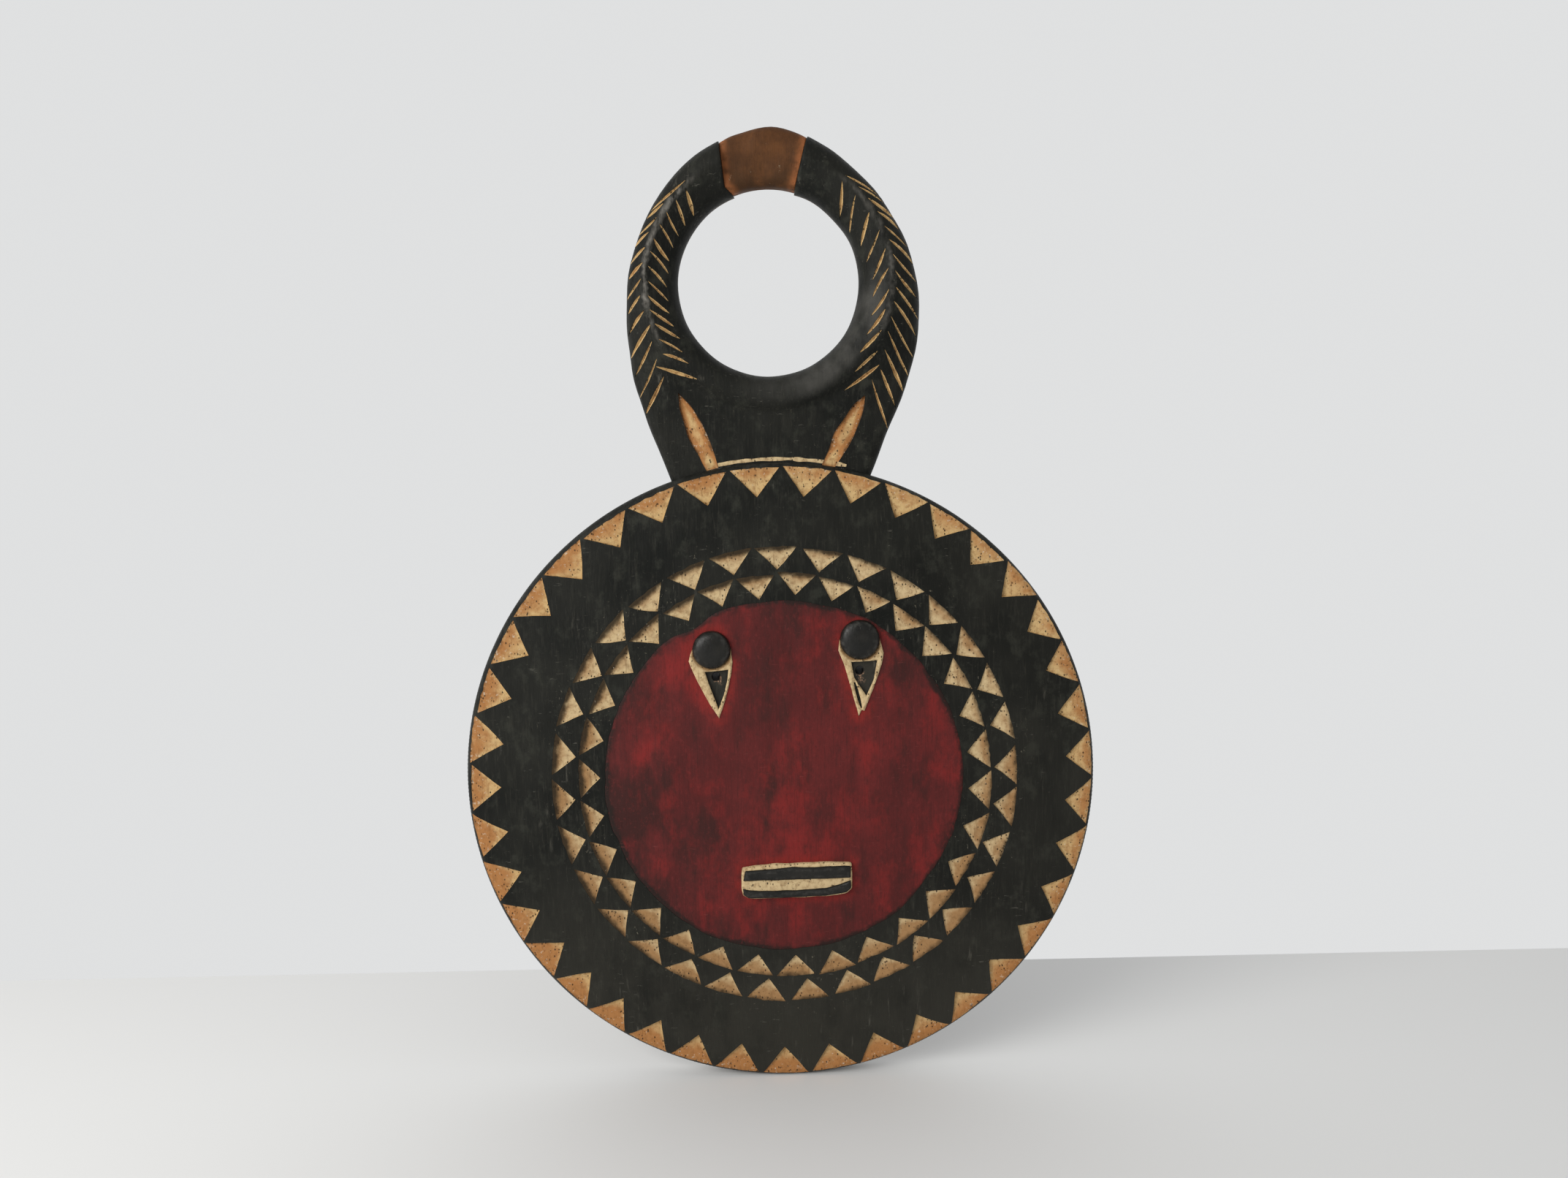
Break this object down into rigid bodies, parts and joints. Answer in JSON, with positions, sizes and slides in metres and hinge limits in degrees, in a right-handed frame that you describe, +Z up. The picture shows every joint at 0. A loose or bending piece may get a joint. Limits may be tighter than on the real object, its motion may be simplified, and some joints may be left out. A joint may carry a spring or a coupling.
{
  "type": "carved wooden disc mask",
  "caption": "Round carved wooden face mask with horns that close into a ring, chip-cut triangle borders, dome eyes and a bar mouth.",
  "frame": {"origin": "centre of the face disc, in the plane of the flat back", "axes": "+Z up the mask towards the horns, -Y the way the face looks, +Y out of the back, +X to the viewer's right of the face"},
  "size_m": [0.4299, 0.0314, 0.6467],
  "materials": {
    "black_wood": "matte, charred black with a faint upright grain",
    "rubbed_black": "satin, rubbed black",
    "red_pigment": "matte, mottled dark red",
    "cream_pigment": "matte, chalky cream with dark pores",
    "ochre_pigment": "matte, tan to orange with brown edges",
    "brown_pigment": "matte, reddish brown"
  },
  "bodies": {
    "root": {"disc": "black_wood", "crest": "black_wood", "tip_bridge": "brown_pigment", "red_field": "red_pigment", "eye_dome_left": "rubbed_black", "eye_dome_right": "rubbed_black", "eye_rim_left": "cream_pigment", "eye_rim_right": "cream_pigment", "mouth_block": "cream_pigment", "mouth_upper_lip": "rubbed_black", "mouth_lower_lip": "rubbed_black", "outer_triangles": "ochre_pigment", "middle_triangles": "cream_pigment", "inner_triangles": "cream_pigment", "horn_cuts_left": "ochre_pigment", "horn_cuts_right": "ochre_pigment", "ear_left": "ochre_pigment", "ear_right": "ochre_pigment", "collar_line": "cream_pigment"}
  },
  "joints": []
}
